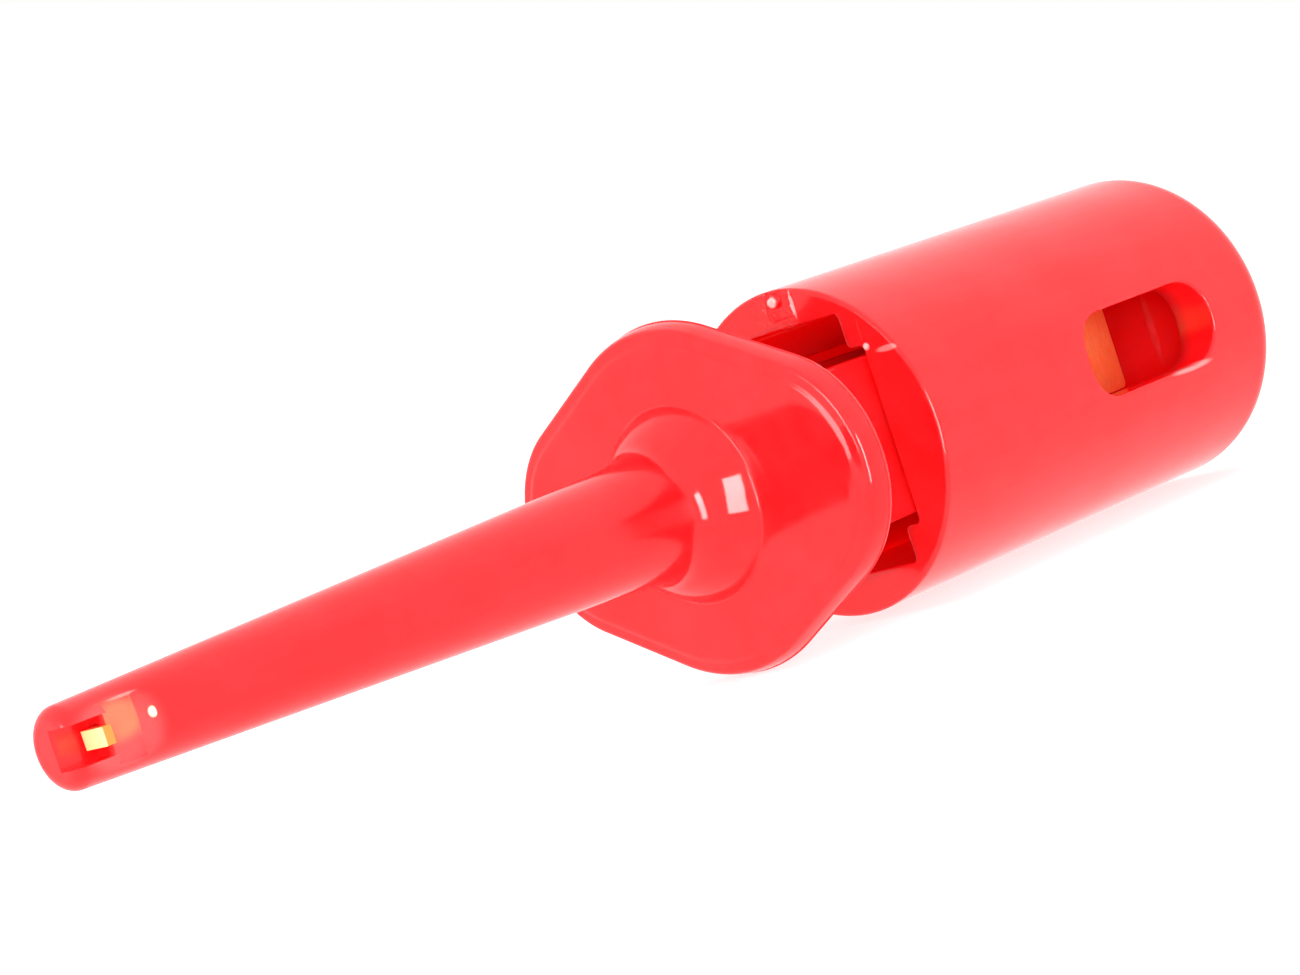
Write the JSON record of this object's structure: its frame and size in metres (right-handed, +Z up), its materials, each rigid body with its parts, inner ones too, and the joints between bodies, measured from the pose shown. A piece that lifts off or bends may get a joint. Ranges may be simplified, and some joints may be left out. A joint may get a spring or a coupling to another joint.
{
  "type": "test clip",
  "caption": "Small red spring-loaded test clip: a tapered nose with a winged finger flange, and a round cap that slides towards it to push a metal hook out of the tip.",
  "frame": {"origin": "bottom centre of the whole clip at rest: below its axis, midway between the tip and the cap's end, at the height of the flange's lower edge", "axes": "+X along the clip from the hook tip to the cap's end, +Y across the flange's wings and away from the solder window, +Z up"},
  "size_m": [0.04, 0.013, 0.0094],
  "materials": {
    "red_plastic": "smooth glossy moulded red plastic",
    "gold_plating": "bright gold plating",
    "spring_steel": "drawn spring wire"
  },
  "bodies": {
    "barrel": {"barrel": "red_plastic", "return_spring": "spring_steel"},
    "plunger": {"plunger_cap": "red_plastic", "hook_contact": "gold_plating"}
  },
  "joints": [
    {"name": "plunger_slide", "type": "slide", "parent": "barrel", "child": "plunger", "axis": [-1, 0, 0], "range_m": [0, 0.004], "stiffness_N_per_m": 400, "springref_m": -0.002, "deforming": ["return_spring"]}
  ]
}
